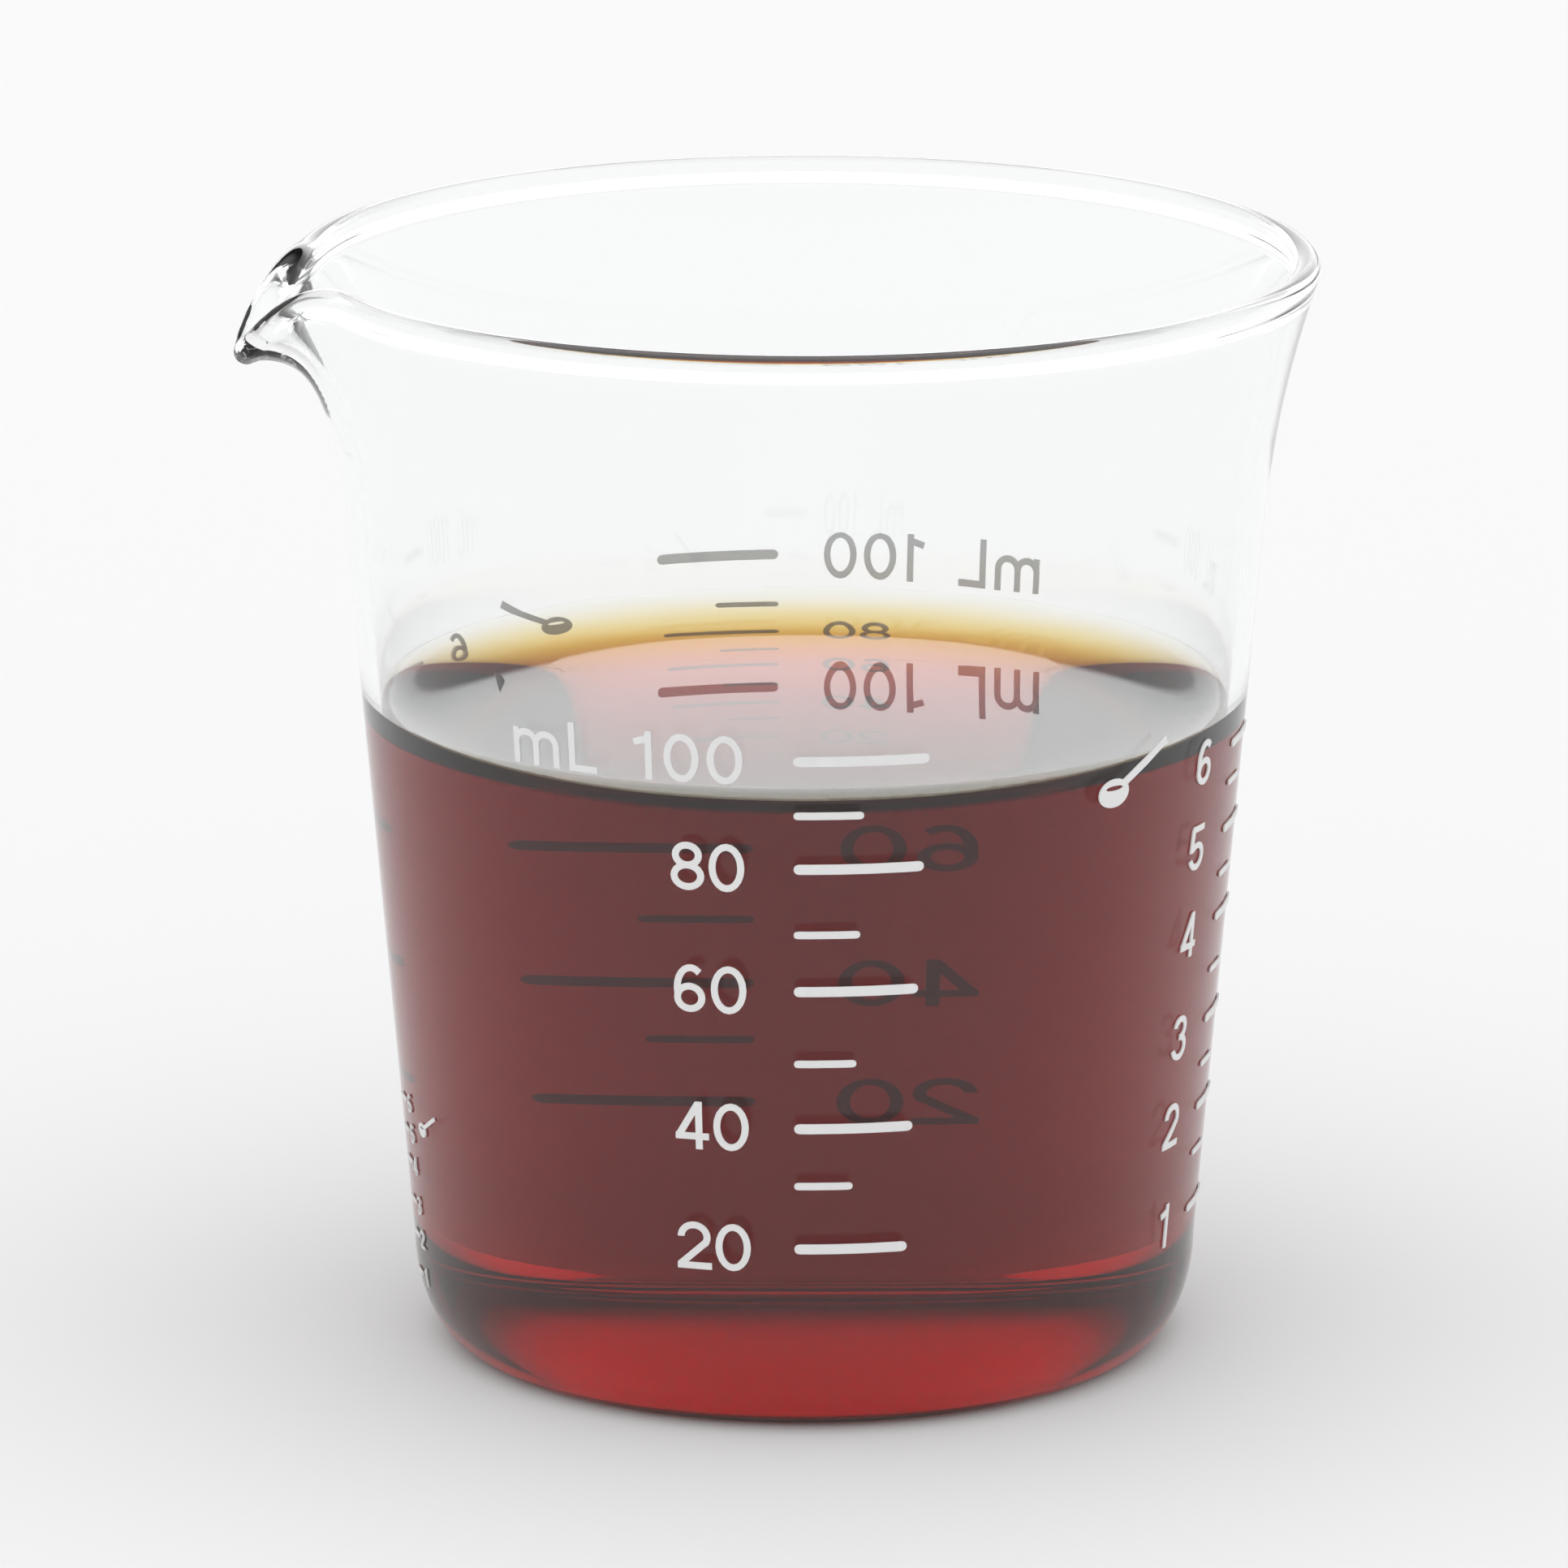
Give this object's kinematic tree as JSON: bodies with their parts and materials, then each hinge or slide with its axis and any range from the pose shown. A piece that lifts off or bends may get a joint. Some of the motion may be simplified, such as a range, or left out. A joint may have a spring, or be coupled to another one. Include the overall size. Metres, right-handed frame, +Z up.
{
  "type": "measuring beaker",
  "caption": "Small clear glass measuring beaker with a flared, beaded rim, a pinched pouring spout and white fired-on volume scales.",
  "frame": {"origin": "centre of the flat underside that the beaker stands on", "axes": "+Z up along the beaker's axis, the pouring spout towards -X, the millilitre scale on the side towards -Y"},
  "size_m": [0.0729, 0.0686, 0.0747],
  "materials": {
    "glass": "clear, polished borosilicate with a faint cool tint in thick edges",
    "enamel": "white enamel ink fired onto the glass, satin"
  },
  "bodies": {
    "root": {"glass_vessel": "glass", "ml_tick_20": "enamel", "ml_20_ones": "enamel", "ml_20_tens": "enamel", "ml_tick_30": "enamel", "ml_tick_40": "enamel", "ml_40_ones": "enamel", "ml_40_tens": "enamel", "ml_tick_50": "enamel", "ml_tick_60": "enamel", "ml_60_ones": "enamel", "ml_60_tens": "enamel", "ml_tick_70": "enamel", "ml_tick_80": "enamel", "ml_80_ones": "enamel", "ml_80_tens": "enamel", "ml_tick_90": "enamel", "ml_tick_100": "enamel", "ml_100_ones": "enamel", "ml_100_tens": "enamel", "ml_100_hundreds": "enamel", "unit_m": "enamel", "unit_L": "enamel", "tablespoon_tick_1": "enamel", "tablespoon_1": "enamel", "tablespoon_tick_1_half": "enamel", "tablespoon_tick_2": "enamel", "tablespoon_2": "enamel", "tablespoon_tick_2_half": "enamel", "tablespoon_tick_3": "enamel", "tablespoon_3": "enamel", "tablespoon_tick_3_half": "enamel", "tablespoon_tick_4": "enamel", "tablespoon_4": "enamel", "tablespoon_tick_4_half": "enamel", "tablespoon_tick_5": "enamel", "tablespoon_5": "enamel", "tablespoon_tick_5_half": "enamel", "tablespoon_tick_6": "enamel", "tablespoon_6": "enamel", "tablespoon_spoon": "enamel", "teaspoon_tick_1": "enamel", "teaspoon_1": "enamel", "teaspoon_tick_2": "enamel", "teaspoon_2": "enamel", "teaspoon_tick_3": "enamel", "teaspoon_3": "enamel", "teaspoon_tick_4": "enamel", "teaspoon_4": "enamel", "teaspoon_tick_5": "enamel", "teaspoon_5": "enamel", "teaspoon_tick_6": "enamel", "teaspoon_6": "enamel", "teaspoon_spoon": "enamel"}
  },
  "joints": []
}
